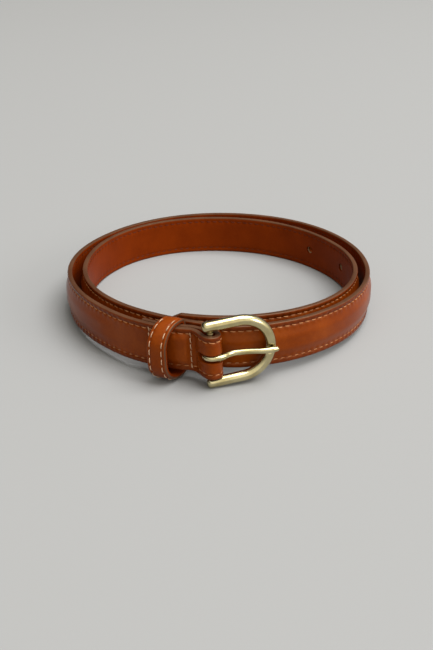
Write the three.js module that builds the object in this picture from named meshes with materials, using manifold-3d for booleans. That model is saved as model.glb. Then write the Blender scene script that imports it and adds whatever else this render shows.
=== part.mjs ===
// A slim padded leather belt with a horseshoe buckle, coiled twice and standing on its edge.
// Millimetres, +Z up. Angles round the coil run clockwise seen from above, from the front (-Y).
import * as THREE from "three";
import { mergeVertices } from "three/addons/utils/BufferGeometryUtils.js";
import Module from "manifold-3d";

const wasm = await Module();
wasm.setup();

// ---- Strap: three layers and two rows of stitching ----
const strapWidth = 20;
const halfWidth = strapWidth / 2;
const faceThickness = 1.2;
const liningThickness = 1.0;
const layerGap = 0.1;
const strapThickness = faceThickness + layerGap + liningThickness;
const domeHeight = 1.1;
const domeFoot = 7;
const domeShoulder = 3.5;
const fillerFoot = 5.8;
const fillerShoulder = 3.2;
const fillerHeight = 0.86;
const liningTrim = 0.1;
const stitchInset = 2.3;
const threadSize = 0.5;
const threadHeight = 0.4;
const threadLift = 0.05;
const threadTurn = 0.6;

// ---- Coil: each pair is an angle and the radius of the outer face there, two turns from chape to tip ----
const coilPath = [
  [10, 80.2], [20, 79.6], [30, 78.2], [45, 76.2], [90, 75.6], [135, 75.3], [180, 75.2], [225, 75.5],
  [270, 72.9], [315, 73.7], [345, 75.1], [358, 75.1], [369, 71.9], [381, 69.8], [405, 68.5], [450, 68.5],
  [495, 71.4], [540, 68.7], [585, 67.4], [630, 67], [675, 66.6], [720, 66.1], [750, 65.7],
];
const chapeStart = 10;
const turnBackEnd = 27;
const leftRowInset = 4;
const paddingStart = 36;
const paddingFull = 45;
const paddingFade = 720;
const paddingEnd = 735;
const tipStart = 736;
const tipEnd = 749;
const tipHalfWidth = 0.9;
const tipCurve = 0.75;
const coilStep = 8;

// ---- Fold round the buckle's bar, and the slot in it for the prong ----
const loopRadius = 2.1;
const foldBackAngle = 75;
const foldFrontAngle = -128;
const foldBackHandle = 3;
const foldFrontHandle = 3.4;
const slotHalfWidth = 2.2;
const slotLeft = 6;
const slotRight = 5.6;
const slotFrontDepth = 6;
const slotBehindBar = 3;

// ---- How the coil stands: the back on its lower edge, the front held up by the buckle ----
const frontLift = 4.8;
const backContact = -0.6;
const liftCurve = 1.3;
const buckleClimb = 1.0;
const climbEnd = 45;
const chapeLean = 2.8;

// ---- Buckle ----
const barX = -4;
const barY = -83.3;
const barRadius = 1.6;
const barNeckRadius = 1.1;
const barNeckLength = 1.7;
const barHoleRadius = 1.4;
const frameRadius = 2.35;
const frameHalfHeight = 13.5;
const frameReach = 26;
const frameStraight = 12.6;
const frameTail = 1.3;
const frameYaw = 16;
const frameRoll = 5;
const notchRadius = 2.6;
const notchDepth = 1;
const notchDrop = 1.8;
const runningGap = 0.3;
const roundSides = 16;

// ---- Prong ----
const prongRadius = 1.35;
const prongEyeRadius = barRadius + runningGap + prongRadius;
const prongRise = frameRadius + prongRadius - notchDepth + runningGap;
const prongOverhang = 0.9;
const prongTilt = 4;
const prongDrop = 0.3;
const prongReach = frameReach + frameRadius + prongOverhang;

// ---- Keeper ----
const keeperAngle = 17.75;
const keeperWidth = 8.3;
const keeperBand = 1.1;
const keeperLining = 0.8;
const keeperThickness = keeperBand + layerGap + keeperLining;
const keeperFrontGap = 6.4;
const keeperDrop = 2.6;
const keeperTopGap = 0.5;
const keeperBackGap = 0.75;
const stackGap = 0.15;
const stackThickness = 2 * strapThickness + stackGap;
const keeperFrontCorner = 8.5;
const keeperBackTopCorner = 0.8;
const keeperBackLowCorner = 1.5;
const keeperStitch = 2.75;
const keeperSkew = 0.22;
const keeperThreadSize = 0.35;
const keeperThreadBack = -2;
const stapleLength = 5.2;
const stapleHeight = 0.6;
const stapleThickness = 0.35;

// ---- Holes for the prong ----
const holeCount = 5;
const firstHoleAngle = 587;
const holeStep = 24.9;
const holeRadius = 2;
const punchLength = 7;
const punchSides = 10;

const rad = THREE.MathUtils.degToRad;
const smooth = THREE.MathUtils.smoothstep;

// ---------------------------------------------------------------- solids

function geometryFrom(positions, triangles) {
  const geometry = new THREE.BufferGeometry();
  geometry.setAttribute("position", new THREE.Float32BufferAttribute(positions, 3));
  geometry.setIndex(triangles);
  return geometry;
}

function signedVolume(geometry) {
  const p = geometry.attributes.position;
  const index = geometry.index;
  const a = new THREE.Vector3();
  const b = new THREE.Vector3();
  const c = new THREE.Vector3();
  let sum = 0;
  for (let i = 0; i < index.count; i += 3) {
    a.fromBufferAttribute(p, index.getX(i));
    b.fromBufferAttribute(p, index.getX(i + 1));
    c.fromBufferAttribute(p, index.getX(i + 2));
    sum += a.dot(b.cross(c));
  }
  return sum / 6;
}

// Turns the faces outwards, whichever way the rings were walked.
function facingOut(geometry) {
  if (signedVolume(geometry) < 0) {
    geometry.index.array.reverse();
  }
  return geometry;
}

// Joins equal rings of points into one closed body, with a flat end on the first and the last.
function loft(rings) {
  const n = rings[0].length;
  const positions = rings.flat().flatMap((p) => [p.x, p.y, p.z]);
  const triangles = [];
  for (let r = 0; r + 1 < rings.length; r += 1) {
    for (let i = 0; i < n; i += 1) {
      const a = r * n + i;
      const b = r * n + ((i + 1) % n);
      triangles.push(a, b, b + n, a, b + n, a + n);
    }
  }
  const flat = capOutline(rings[0]);
  const last = (rings.length - 1) * n;
  for (const [a, b, c] of THREE.ShapeUtils.triangulateShape(flat, [])) {
    triangles.push(c, b, a, last + a, last + b, last + c);
  }
  return facingOut(geometryFrom(positions, triangles));
}

// The ring's outline in its own plane, walked anticlockwise as the loft expects.
function capOutline(ring) {
  const origin = ring[0];
  const across = new THREE.Vector3().subVectors(ring[1], origin).normalize();
  const normal = new THREE.Vector3();
  for (let i = 1; i + 1 < ring.length; i += 1) {
    const u = new THREE.Vector3().subVectors(ring[i], origin);
    normal.add(u.cross(new THREE.Vector3().subVectors(ring[i + 1], origin)));
  }
  const up = new THREE.Vector3().crossVectors(normal.normalize(), across);
  return ring.map((p) => {
    const d = new THREE.Vector3().subVectors(p, origin);
    return new THREE.Vector2(d.dot(across), d.dot(up));
  });
}

function toSolid(geometry) {
  const bare = geometry.clone();
  bare.deleteAttribute("normal");
  bare.deleteAttribute("uv");
  const merged = mergeVertices(bare, 1e-4);
  const vertProperties = new Float32Array(merged.attributes.position.array);
  const triVerts = new Uint32Array(merged.index.array);
  return new wasm.Manifold(new wasm.Mesh({ numProp: 3, vertProperties, triVerts }));
}

function fromSolid(solid) {
  const mesh = solid.getMesh();
  return geometryFrom(Array.from(mesh.vertProperties), Array.from(mesh.triVerts));
}

function cut(geometry, cutters) {
  const left = cutters.reduce((body, cutter) => body.subtract(toSolid(cutter)), toSolid(geometry));
  return fromSolid(left);
}

// ---------------------------------------------------------------- the strap's path

const coilAngles = coilPath.map(([angle]) => angle);
const coilRadii = coilPath.map(([, radius]) => radius);
const radiusAt = new THREE.CubicInterpolant(coilAngles, coilRadii, 1);

function coilPoint(angle) {
  const r = radiusAt.evaluate(angle)[0];
  return new THREE.Vector2(-r * Math.sin(rad(angle)), -r * Math.cos(rad(angle)));
}

// Unit normal of the coil, pointing away from its middle.
function coilNormal(angle) {
  const ahead = coilPoint(angle + 0.5);
  const along = ahead.sub(coilPoint(angle - 0.5)).normalize();
  return new THREE.Vector2(along.y, -along.x).negate();
}

function liftAt(angle) {
  const raised = Math.max(0, (Math.cos(rad(angle)) - backContact) / (1 - backContact));
  return frontLift * raised ** liftCurve;
}

// 1 at the buckle, 0 where the strap has settled into the coil.
function nearBuckle(angle) {
  return 1 - smooth(angle, 0, climbEnd);
}

// One cross-section of the strap: a point on its outer face, the face's normal, and its height.
function station(point, normal, angle) {
  const near = nearBuckle(angle);
  const base = liftAt(angle) + buckleClimb * near;
  const lean = near * Math.tan(rad(chapeLean));
  const dome = smooth(angle, paddingStart, paddingFull) * (1 - smooth(angle, paddingFade, paddingEnd));
  return { point, normal, angle, centre: base + halfWidth, lean, half: halfWidth, dome };
}

function coilStation(angle) {
  return station(coilPoint(angle), coilNormal(angle), angle);
}

function range(from, to, count) {
  return Array.from({ length: count + 1 }, (_, i) => from + ((to - from) * i) / count);
}

// The folded end lies behind the chape with its own face turned to the inside of the coil.
function turnBackStation(angle) {
  const normal = coilNormal(angle);
  const point = coilPoint(angle).addScaledVector(normal, -stackThickness);
  return station(point, normal.negate(), angle);
}

const foldRadius = loopRadius + strapThickness;
const barCentre = new THREE.Vector2(barX, barY);

function foldStation(degrees) {
  const normal = new THREE.Vector2(Math.cos(rad(degrees)), Math.sin(rad(degrees)));
  return station(barCentre.clone().addScaledVector(normal, foldRadius), normal, 0);
}

// The way the strap runs on at a station, from the chape to the tip.
function alongStrap(s) {
  return new THREE.Vector2(s.normal.y, -s.normal.x);
}

// A blend between two stations that leaves and arrives along the strap.
function bridge(from, to, handle, count) {
  const leave = from.point.clone().addScaledVector(alongStrap(from), handle);
  const arrive = to.point.clone().addScaledVector(alongStrap(to), -handle);
  const curve = new THREE.CubicBezierCurve(from.point, leave, arrive, to.point);
  return range(0, 1, count).slice(1, -1).map((t) => {
    const tangent = curve.getTangent(t);
    const normal = new THREE.Vector2(tangent.y, -tangent.x).negate();
    return station(curve.getPoint(t), normal, THREE.MathUtils.lerp(from.angle, to.angle, t));
  });
}

const turnBack = range(turnBackEnd, chapeStart, 4).map(turnBackStation);
const fold = range(foldBackAngle, foldFrontAngle, 11).map(foldStation);
const chapeFirst = coilStation(chapeStart);
const intoFold = bridge(turnBack[turnBack.length - 1], fold[0], foldBackHandle, 3);
const outOfFold = bridge(fold[fold.length - 1], chapeFirst, foldFrontHandle, 6);
const chape = range(chapeStart, paddingStart, 4).map(coilStation);
const coilSteps = Math.round((tipStart - paddingStart) / coilStep);
const coil = range(paddingStart, tipStart, coilSteps).slice(1).map(coilStation);
const tip = [0.2, 0.4, 0.6, 0.78, 0.92, 1].map((t) => {
  const s = coilStation(tipStart + (tipEnd - tipStart) * t);
  s.half = Math.max(tipHalfWidth, halfWidth * (1 - t) ** tipCurve);
  return s;
});
const strap = [...turnBack, ...intoFold, ...fold, ...outOfFold, ...chape, ...coil, ...tip];

// A point of a station: z across the strap from its middle, depth outwards from its face.
function place(s, z, depth) {
  const x = s.point.x + s.normal.x * depth - s.lean * z;
  const y = s.point.y + s.normal.y * depth;
  return new THREE.Vector3(x, y, s.centre + z);
}

// ---------------------------------------------------------------- the strap's layers

function faceRing(s) {
  const scale = s.half / halfWidth;
  const heights = [-halfWidth, -domeFoot, -domeShoulder, domeShoulder, domeFoot, halfWidth];
  const domes = [0, 0, 1, 1, 0, 0];
  const outer = heights.map((z, i) => place(s, z * scale, domes[i] * domeHeight * s.dome));
  const inner = heights.map((z, i) => place(s, z * scale, domes[i] * domeHeight * s.dome - faceThickness));
  return [...outer, ...inner.reverse()];
}

function liningRing(s) {
  const edge = s.half - liningTrim;
  const outside = -faceThickness - layerGap;
  const inside = -strapThickness;
  return [place(s, -edge, outside), place(s, edge, outside), place(s, edge, inside), place(s, -edge, inside)];
}

function fillerRing(s) {
  const base = -faceThickness - layerGap / 2;
  const top = base + fillerHeight * s.dome;
  return [place(s, -fillerFoot, base), place(s, fillerFoot, base), place(s, fillerShoulder, top),
    place(s, -fillerShoulder, top)];
}

// Thread lies on a face as one line: down one edge, round the tip and back along the other edge.
function threadRings(stations, depth, out) {
  const crest = depth + out * threadHeight;
  const triangle = (s, side) => {
    const z = side * (s.half - stitchInset);
    const shift = (side * threadSize) / 2;
    return [place(s, z + shift, depth), place(s, z - shift, depth), place(s, z, crest)];
  };
  const last = stations[stations.length - 1];
  const ahead = (distance, d) => {
    const point = last.point.clone().addScaledVector(alongStrap(last), distance);
    return place({ ...last, point }, 0, d);
  };
  const turn = [ahead(2 * threadTurn, depth), ahead(threadTurn, depth), ahead(1.5 * threadTurn, crest)];
  const upper = stations.map((s) => triangle(s, 1));
  const lower = stations.map((s) => triangle(s, -1)).reverse();
  return [...upper, turn, ...lower];
}

// A straight row of thread across the strap.
function crossRow(s) {
  const half = alongStrap(s).multiplyScalar(threadSize / 2);
  const left = { ...s, point: s.point.clone().sub(half) };
  const right = { ...s, point: s.point.clone().add(half) };
  const base = 2 * threadLift;
  const ring = (z) => [place(left, z, base), place(right, z, base), place(s, z, base + threadHeight)];
  const reach = halfWidth - stitchInset - threadSize;
  return loft([ring(-reach), ring(reach)]);
}

function punch(angle) {
  const s = coilStation(angle);
  const axis = new THREE.Vector3(s.normal.x, s.normal.y, 0);
  const geometry = new THREE.CylinderGeometry(holeRadius, holeRadius, punchLength, punchSides);
  geometry.applyQuaternion(new THREE.Quaternion().setFromUnitVectors(new THREE.Vector3(0, 1, 0), axis));
  const middle = place(s, 0, -strapThickness / 2);
  return geometry.translate(middle.x, middle.y, middle.z);
}

const holeAngles = Array.from({ length: holeCount }, (_, i) => firstHoleAngle + holeStep * i);
const punches = holeAngles.map(punch);
const foldCentre = fold[0].centre;

// The slot that lets the prong through: a round-ended window in the fold's front, and a shorter one
// behind the bar that stops clear of the coil.
function slotCutters() {
  const window = new THREE.Shape();
  const roundEnd = barX - slotLeft + slotHalfWidth;
  window.moveTo(barX + slotRight, -slotHalfWidth);
  window.lineTo(barX + slotRight, slotHalfWidth);
  window.lineTo(roundEnd, slotHalfWidth);
  window.absarc(roundEnd, 0, slotHalfWidth, Math.PI / 2, 1.5 * Math.PI, false);
  const depth = slotFrontDepth + slotBehindBar;
  const front = new THREE.ExtrudeGeometry(window, { depth, bevelEnabled: false, curveSegments: 5 });
  front.rotateX(Math.PI / 2);
  front.translate(0, barY + slotBehindBar, foldCentre);
  const outline = [[-slotRight, 2.9], [-slotRight, 6.6], [4, 5.2], [slotRight, 5.2], [slotRight, 2.9]];
  const plan = new THREE.Shape(outline.map(([x, y]) => new THREE.Vector2(barX + x, barY + y)));
  const back = new THREE.ExtrudeGeometry(plan, { depth: 2 * slotHalfWidth, bevelEnabled: false });
  back.translate(0, 0, foldCentre - slotHalfWidth);
  return [front, back];
}

const edgeStations = [...fold, ...outOfFold, ...chape, ...coil, ...tip.slice(0, 3)];
const liningStart = strap.indexOf(coil[0]);
const liningStations = strap.slice(liningStart, strap.length - 3);
const padded = coil.filter((s) => s.angle <= paddingFade);

const strapFace = cut(loft(strap.map(faceRing)), [...punches, ...slotCutters()]);
const strapFiller = cut(loft(padded.map(fillerRing)), punches);
const strapLining = cut(loft(strap.map(liningRing)), [...punches, ...slotCutters()]);
const faceThread = loft(threadRings(edgeStations, threadLift, 1));
const liningThread = loft(threadRings(liningStations, -strapThickness - threadLift, -1));
const rightRow = crossRow(outOfFold[outOfFold.length - 1]);
const leftRow = crossRow(coilStation(turnBackEnd - leftRowInset));

// ---------------------------------------------------------------- buckle, in its own frame
// X runs from the bar to the bow, Z along the bar, -Y out towards the wearer's front.

// A round rod along points in the plane that the normal is square to, with domed ends.
function rod(points, radius, planeNormal, sides) {
  const body = points.map((at, i) => {
    const before = points[Math.max(0, i - 1)];
    const after = points[Math.min(points.length - 1, i + 1)];
    return { at, along: new THREE.Vector3().subVectors(after, before).normalize(), radius };
  });
  const dome = (end, way) => [75, 50, 25].map((degrees) => ({
    at: end.at.clone().addScaledVector(end.along, way * radius * Math.sin(rad(degrees))),
    along: end.along,
    radius: radius * Math.cos(rad(degrees)),
  }));
  const sections = [...dome(body[0], -1), ...body, ...dome(body[body.length - 1], 1).reverse()];
  return loft(sections.map((section) => {
    const side = new THREE.Vector3().crossVectors(planeNormal, section.along).normalize();
    return range(0, 2 * Math.PI, sides).slice(0, -1).map((a) => section.at.clone()
      .addScaledVector(side, section.radius * Math.cos(a))
      .addScaledVector(planeNormal, section.radius * Math.sin(a)));
  }));
}

function buckleFrame() {
  const bowRadius = frameReach - frameStraight;
  const bow = range(90, -90, 18).map((degrees) => {
    const x = frameStraight + bowRadius * Math.cos(rad(degrees));
    return new THREE.Vector3(x, 0, frameHalfHeight * Math.sin(rad(degrees)));
  });
  const arm = range(-frameTail, frameStraight, 4).slice(0, -1);
  const upperArm = arm.map((x) => new THREE.Vector3(x, 0, frameHalfHeight));
  const lowerArm = arm.map((x) => new THREE.Vector3(x, 0, -frameHalfHeight)).reverse();
  const body = rod([...upperArm, ...bow, ...lowerArm], frameRadius, new THREE.Vector3(0, 1, 0), 14);
  const start = frameHalfHeight - frameRadius - 1;
  const end = frameHalfHeight - frameRadius + barNeckLength + 0.4;
  const pinHole = (side) => {
    const hole = new THREE.CylinderGeometry(barHoleRadius, barHoleRadius, end - start, roundSides);
    hole.rotateX(Math.PI / 2);
    return hole.translate(0, 0, (side * (start + end)) / 2);
  };
  const notch = new THREE.CylinderGeometry(notchRadius, notchRadius, 3 * frameRadius, roundSides);
  notch.rotateZ(Math.PI / 2);
  notch.translate(frameReach, -frameRadius - notchRadius + notchDepth, -notchDrop);
  return cut(body, [pinHole(1), pinHole(-1), notch]);
}

function buckleBar() {
  const shoulder = frameHalfHeight - frameRadius - runningGap;
  const tipZ = shoulder + barNeckLength;
  const upper = [[barRadius, shoulder], [barNeckRadius, shoulder], [barNeckRadius, tipZ], [0, tipZ]];
  const lower = upper.map(([r, z]) => [r, -z]).reverse();
  const profile = [...lower, ...upper].map(([r, z]) => new THREE.Vector2(r, z));
  return new THREE.LatheGeometry(profile, roundSides).rotateX(Math.PI / 2);
}

// The prong wraps the bar, leaves over its front, dips into the frame and rises onto the bow. It sags a
// little to the lower side, and the bow's notch is worn there.
function prong() {
  const eye = range(-15, -270, 12).map((degrees) => new THREE.Vector3(
    prongEyeRadius * Math.cos(rad(degrees)), prongEyeRadius * Math.sin(rad(-degrees)), 0));
  const blade = [[2.2, 3.2], [4.6, 2.5], [6.8, 1.35], [9, 0.7], [12, 0.75], [17, 1.5], [22, prongRise - 0.25],
    [frameReach, prongRise], [prongReach - prongRadius, prongRise - 0.15]];
  const centreLine = [...eye, ...blade.map(([x, out]) => new THREE.Vector3(x, -out, 0))];
  const straight = rod(centreLine, prongRadius, new THREE.Vector3(0, 0, 1), 10);
  return straight.rotateY(rad(prongTilt)).translate(0, 0, -prongDrop);
}

// ---------------------------------------------------------------- keeper, in its own frame
// X points out of the coil, Y up, Z along the strap.

const keeperBack = stackThickness + keeperBackGap;

function keeperOutline(shape, grow) {
  const left = -keeperBack - grow;
  const right = keeperFrontGap + grow;
  const low = -keeperDrop - grow;
  const high = strapWidth + keeperTopGap + grow;
  const front = keeperFrontCorner + grow;
  const backTop = keeperBackTopCorner + grow;
  const backLow = keeperBackLowCorner + grow;
  shape.absarc(right - front, low + front, front, -Math.PI / 2, 0, false);
  shape.absarc(right - front, high - front, front, 0, Math.PI / 2, false);
  shape.absarc(left + backTop, high - backTop, backTop, Math.PI / 2, Math.PI, false);
  shape.absarc(left + backLow, low + backLow, backLow, Math.PI, 1.5 * Math.PI, false);
  shape.closePath();
  return shape;
}

// The loose loop sits askew: its back lies further along the strap towards the buckle than its front.
function skewed(geometry) {
  const skew = new THREE.Matrix4().makeShear(0, keeperSkew, 0, 0, 0, 0);
  return geometry.translate(-keeperFrontGap, 0, 0).applyMatrix4(skew).translate(keeperFrontGap, 0, 0);
}

function keeperLoop(inside, outside, width) {
  const shape = keeperOutline(new THREE.Shape(), outside);
  shape.holes.push(keeperOutline(new THREE.Path(), inside));
  const geometry = new THREE.ExtrudeGeometry(shape, { depth: width, bevelEnabled: false, curveSegments: 6 });
  return skewed(geometry.translate(0, 0, -width / 2));
}

// Thread shows on the keeper's front and bends, and stops where the strap hides it.
function keeperThread() {
  const inside = keeperThickness + threadLift;
  const ring = keeperLoop(inside, inside + keeperThreadSize, keeperThreadSize);
  const hidden = new THREE.BoxGeometry(4 * keeperBack, 3 * strapWidth, 3 * keeperWidth);
  hidden.translate(keeperThreadBack - 2 * keeperBack, 0, 0);
  return cut(ring, [hidden]);
}

// The ends of the band meet behind the strap, and a wire staple in a shallow pocket holds them.
function staplePocket() {
  const depth = 2 * stapleThickness + runningGap;
  const pocket = new THREE.BoxGeometry(2 * depth, stapleLength + 0.8, stapleHeight + 0.7);
  return skewed(pocket.translate(-keeperBack - keeperThickness, halfWidth, 0));
}

function staple() {
  const bar = new THREE.BoxGeometry(stapleThickness, stapleLength, stapleHeight);
  return skewed(bar.translate(-keeperBack - keeperThickness + runningGap, halfWidth, 0));
}

const keeperBandLoop = keeperLoop(keeperLining + layerGap, keeperThickness, keeperWidth);
const keeperBandBody = cut(keeperBandLoop, [staplePocket()]);
const keeperLiningBody = keeperLoop(0, keeperLining, keeperWidth);

// ---------------------------------------------------------------- materials and assembly

const leather = new THREE.MeshStandardMaterial({ color: 0x8f4220, roughness: 0.38, metalness: 0 });
const liningLeather = new THREE.MeshStandardMaterial({ color: 0x7a3318, roughness: 0.5, metalness: 0 });
const board = new THREE.MeshStandardMaterial({ color: 0x9a7a55, roughness: 0.9, metalness: 0 });
const thread = new THREE.MeshStandardMaterial({ color: 0xd9a574, roughness: 0.8, metalness: 0 });
const brass = new THREE.MeshStandardMaterial({ color: 0xc8b47a, roughness: 0.3, metalness: 1 });
const steel = new THREE.MeshStandardMaterial({ color: 0xa8a8a8, roughness: 0.35, metalness: 1 });

function named(name, geometry, material) {
  const mesh = new THREE.Mesh(geometry, material);
  mesh.name = name;
  return mesh;
}

const belt = new THREE.Group();
belt.add(
  named("strap_face", strapFace, leather),
  named("strap_filler", strapFiller, board),
  named("strap_lining", strapLining, liningLeather),
  named("edge_thread_face", faceThread, thread),
  named("edge_thread_lining", liningThread, thread),
  named("chape_thread_right", rightRow, thread),
  named("chape_thread_left", leftRow, thread),
);

const buckle = new THREE.Group();
const buckleTurn = new THREE.Matrix4().makeRotationZ(rad(frameYaw))
  .multiply(new THREE.Matrix4().makeRotationY(-rad(frameRoll)));
buckle.quaternion.setFromRotationMatrix(buckleTurn);
const tailDrop = frameTail * Math.sin(rad(frameRoll));
buckle.position.set(barX, barY, frameHalfHeight * Math.cos(rad(frameRoll)) + tailDrop + frameRadius);
buckle.add(
  named("buckle_frame", buckleFrame(), brass),
  named("buckle_bar", buckleBar(), brass),
  named("prong", prong(), brass),
);
belt.add(buckle);

const keeper = new THREE.Group();
const keeperStation = coilStation(keeperAngle);
const outward = new THREE.Vector3(keeperStation.normal.x, keeperStation.normal.y, 0);
const upward = new THREE.Vector3(-keeperStation.lean, 0, 1).normalize();
const sideways = new THREE.Vector3().crossVectors(outward, upward).normalize();
upward.crossVectors(sideways, outward);
keeper.quaternion.setFromRotationMatrix(new THREE.Matrix4().makeBasis(outward, upward, sideways));
keeper.position.copy(place(keeperStation, -halfWidth, 0));
const leftThread = named("keeper_thread_left", keeperThread(), thread);
const rightThread = named("keeper_thread_right", keeperThread(), thread);
leftThread.position.z = -keeperStitch;
rightThread.position.z = keeperStitch;
keeper.add(
  named("keeper_band", keeperBandBody, leather),
  named("keeper_lining", keeperLiningBody, liningLeather),
  leftThread,
  rightThread,
  named("keeper_staple", staple(), steel),
);
belt.add(keeper);

// The origin is under the middle of the whole object, on the surface it stands on.
belt.updateMatrixWorld(true);
const box = new THREE.Box3().setFromObject(belt, true);
const middle = box.getCenter(new THREE.Vector3());
belt.position.set(-middle.x, -middle.y, -box.min.z);

export default belt;
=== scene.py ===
"""Looks for a slim padded leather belt, coiled twice and standing on its edge, with a horseshoe buckle.

Shapes are worked out in millimetres from the middle of the coil, and to_frame takes them to the
frame's metres. Angles round the coil run clockwise seen from above, from the front (-Y).
"""
import math

import bmesh
import bpy
import numpy as np
from mathutils import Matrix, Vector


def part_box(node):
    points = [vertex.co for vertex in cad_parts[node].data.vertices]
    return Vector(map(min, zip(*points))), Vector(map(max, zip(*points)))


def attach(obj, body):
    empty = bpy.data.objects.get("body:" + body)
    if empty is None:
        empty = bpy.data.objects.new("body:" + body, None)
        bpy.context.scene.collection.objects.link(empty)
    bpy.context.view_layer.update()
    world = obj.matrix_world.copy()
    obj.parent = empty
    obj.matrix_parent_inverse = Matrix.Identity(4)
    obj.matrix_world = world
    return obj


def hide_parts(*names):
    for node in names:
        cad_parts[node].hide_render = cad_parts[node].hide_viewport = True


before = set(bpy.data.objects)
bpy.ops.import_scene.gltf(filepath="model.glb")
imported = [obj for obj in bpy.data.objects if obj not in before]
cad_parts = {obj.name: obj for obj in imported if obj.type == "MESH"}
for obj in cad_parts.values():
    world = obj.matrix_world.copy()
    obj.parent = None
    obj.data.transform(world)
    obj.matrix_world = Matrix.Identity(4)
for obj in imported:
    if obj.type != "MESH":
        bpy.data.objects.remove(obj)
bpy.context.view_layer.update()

# ---------------------------------------------------------------- driving dimensions
# Millimetres and degrees, apart from the camera's place, which is in metres.

MM = 0.001

# Strap: a face and a lining, with a filler between them that makes the dome along the middle
WIDTH = 20
HALF = WIDTH / 2
FACE = 1.2
THICKNESS = 2.3
DOME = 1.1
DOME_FOOT = 7.1
DOME_SHOULDER = 2.2
PADDING_HEIGHT = 0.86
PADDING_FOOT = 6
PADDING_LEAST = 0.02
LINING_DISH = 0.1
LINING_DISH_HALF = 5
UNEVEN = 0.03

# How far below FACE each layer starts or ends, so that no two of them touch
FACE_GAP = 0.04
FILLER_GAP = 0.05
LINING_GAP = 0.06

# Radius of the rounded edges, and how many quads next to each edge are painted
FACE_CORNER = 0.6
LINING_CORNER = 0.35
PAINTED = 2

# Distance between cross-sections of the meshes, and between points of the path
STEP = 0.6
PATH_STEP = 0.2
ANGLE_STEP = 0.2

# A stitch's middle lies STITCH_RISE above the leather, and its ends STITCH_DIP lower. Its two strands
# stand out by TWIST_DEPTH of its radius, and TWIST_TURN says how far they turn.
THREAD = 0.23
THREAD_SIDES = 8
STITCH_RISE = 0.14
STITCH_DIP = 0.42
TWIST_DEPTH = 0.13
TWIST_TURN = 4.2

# Edge stitching. A stitch's middle is about half a pitch from the needle hole before it.
STITCH_INSET = 2.3
STITCH_PITCH = 3.5
STITCH_SHIFT = 1.751
STITCH_LENGTH = 2.5
STITCH_SLANT = 0.1

# Stitching across the chape, so far from the coil's start (mm) and the turned-back end (degrees)
RIGHT_ROW_INSET = 1
LEFT_ROW_INSET = 4
RIGHT_GROOVE = 0.6
LEFT_GROOVE = 0.5
CROSS_GROOVE_HALF = 1.0
CROSS_PITCH = 3.1
CROSS_LENGTH = CROSS_PITCH * 0.82
CROSS_SLANT = 0.12
CROSS_RISE = 0.22
CROSS_THREAD = THREAD * 1.2

# Grooves of the edge stitching: depths, half-widths, and heights as shares of the depth
FACE_GROOVE = 0.3
LINING_GROOVE = 0.16
GROOVE_HALF = 0.42
NEEDLE_LENGTH = 0.55
NEEDLE_HALF = 0.6
NEEDLE_SHARE = 0.9
GATHER_OUT = 0.95
GATHER_HALF = 0.6
GATHER_SHARE = 0.4

# Coil: each pair is an angle and the radius of the outer face there
COIL = [
    (10, 80.2), (20, 79.6), (30, 78.2), (45, 76.2), (90, 75.6), (135, 75.3), (180, 75.2), (225, 75.5),
    (270, 72.9), (315, 73.7), (345, 75.1), (358, 75.1), (369, 71.9), (381, 69.8), (405, 68.5), (450, 68.5),
    (495, 71.4), (540, 68.7), (585, 67.4), (630, 67), (675, 66.6), (720, 66.1), (750, 65.7),
]
CHAPE_START = 10
TURN_BACK_END = 27
STACK = 4.75

# Angles where the padding starts, is full, starts to fade and ends, and where the tip starts and ends
PADDING = (36, 45, 720, 735)
TIP_START = 736
TIP_END = 749
TIP_CURVE = 0.75

# How the coil stands
FRONT_LIFT = 4.8
BACK_CONTACT = -0.6
LIFT_CURVE = 1.3
BUCKLE_CLIMB = 1.0
CLIMB_END = 45
CHAPE_LEAN = 2.8

# Chape: it bulges between the two rows of stitching, and sinks to a crease before the right one.
# The bulge rises over the first pair of distances from the right row, and falls over the second
# pair of distances before the left row.
CHAPE_BULGE = 1.1
CHAPE_SHOULDER = 4.6
CHAPE_FOOT = 8.6
CHAPE_RISE = (0.3, 2.4)
CHAPE_FALL = (4, 0.5)
CREASE_DEPTH = 0.95
CREASE_REACH = 2.3
CREASE_HALF = 1.4

# Fold round the bar, between the angles FOLD_BACK and FOLD_FRONT about it
BAR_X = -4
BAR_Y = -83.3
FOLD_RADIUS = 4.4
FOLD_BACK = 75
FOLD_FRONT = -128
FOLD_STEP = 3
FOLD_HANDLES = (3, 3.4)

# Slot for the prong, with the distance out from its edge and the height of each gathered ring. The
# rings start and are full at the last pair of distances before the slot's front end.
SLOT_HALF = 1.95
SLOT_DROP = 0.3
SLOT_LEFT = 6.1
SLOT_BACK = 5.2
SLOT_LIP = 0.18
SLOT_LIP_OUT = 0.5
SLOT_RINGS = ((0.5, 0.2), (1.4, -0.36), (2.2, 0.25))
RING_HALF = 0.42
RINGS_START = (5, 1.5)

# Buckle: a rod bent to a horseshoe, whose bow is notched for the prong
BAR_RADIUS = 1.6
NECK_RADIUS = 1.1
ROD = 2.35
ROD_BEVEL = 1.9
FRAME_HALF = 13.5
FRAME_REACH = 26
FRAME_STRAIGHT = 12.6
FRAME_TAIL = 1.3
FRAME_YAW = 16
FRAME_ROLL = 5
NOTCH_HALF = 3.3
NOTCH_TAPER = 0.72
NOTCH_CUT = 1.45
NOTCH_DEPTH = 1.0
NOTCH_DROP = 1.8
GAP = 0.3

# Prong
PRONG = 1.35
PRONG_EYE = BAR_RADIUS + GAP + PRONG
PRONG_RISE = ROD + PRONG - NOTCH_DEPTH + GAP
PRONG_REACH = FRAME_REACH + ROD + 0.9
PRONG_BEVEL = 1.0
PRONG_STRETCH = 1.06
PRONG_TILT = 4
PRONG_DROP = 0.3

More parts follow.
